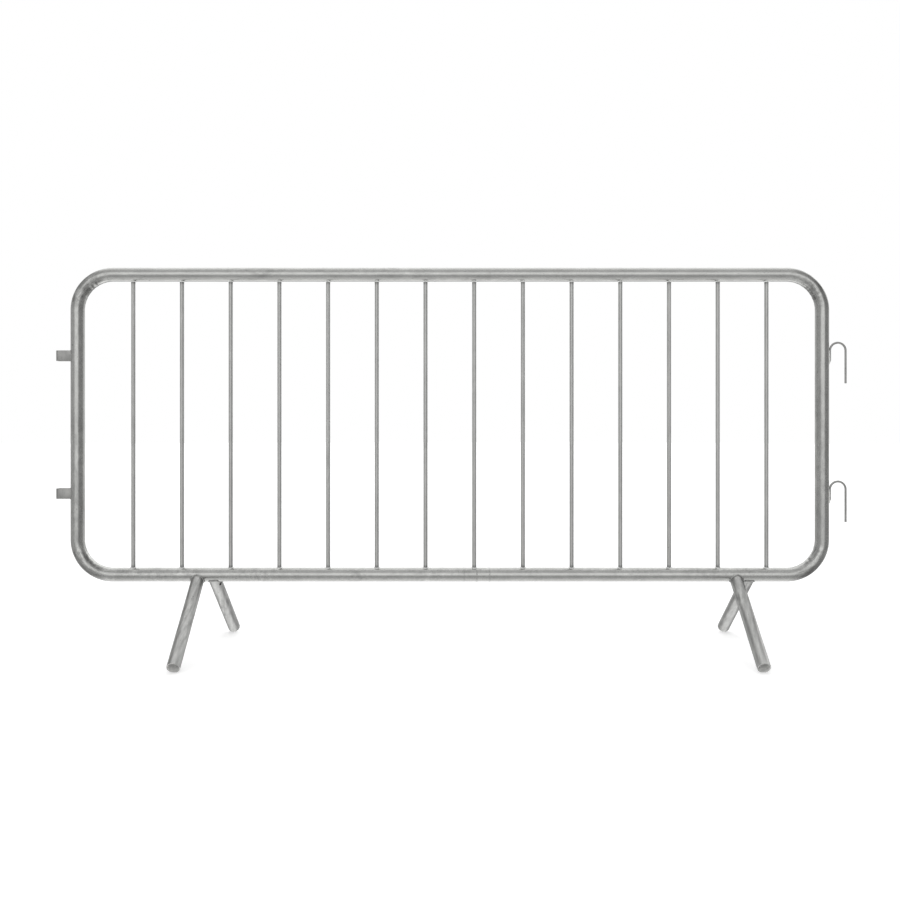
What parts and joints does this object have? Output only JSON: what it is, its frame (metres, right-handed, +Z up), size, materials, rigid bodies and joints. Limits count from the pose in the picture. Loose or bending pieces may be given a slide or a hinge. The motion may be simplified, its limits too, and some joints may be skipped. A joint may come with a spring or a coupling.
{
  "type": "crowd control barrier",
  "caption": "Fixed-leg pedestrian barrier: rounded rectangular galvanised tube frame with upright infill bars, splayed tube legs, hooks at one end and loops at the other.",
  "frame": {"origin": "on the ground, midway between the outermost points, in the plane of the frame", "axes": "+Z up, +X along the barrier towards the hooks, -Y towards the front"},
  "size_m": [2.2956, 0.596, 1.112],
  "materials": {
    "frame_steel": "hot-dip galvanised, dull, faint spangle",
    "bar_steel": "hot-dip galvanised, dull",
    "leg_steel": "hot-dip galvanised, dull, runs towards the foot",
    "fitting_steel": "hot-dip galvanised, dull"
  },
  "bodies": {
    "root": {"perimeter_frame": "frame_steel", "infill_bar_01": "bar_steel", "infill_bar_02": "bar_steel", "infill_bar_03": "bar_steel", "infill_bar_04": "bar_steel", "infill_bar_05": "bar_steel", "infill_bar_06": "bar_steel", "infill_bar_07": "bar_steel", "infill_bar_08": "bar_steel", "infill_bar_09": "bar_steel", "infill_bar_10": "bar_steel", "infill_bar_11": "bar_steel", "infill_bar_12": "bar_steel", "infill_bar_13": "bar_steel", "infill_bar_14": "bar_steel", "front_left_leg": "leg_steel", "rear_left_leg": "leg_steel", "front_right_leg": "leg_steel", "rear_right_leg": "leg_steel", "upper_hook": "fitting_steel", "lower_hook": "fitting_steel", "upper_loop": "fitting_steel", "lower_loop": "fitting_steel"}
  },
  "joints": []
}
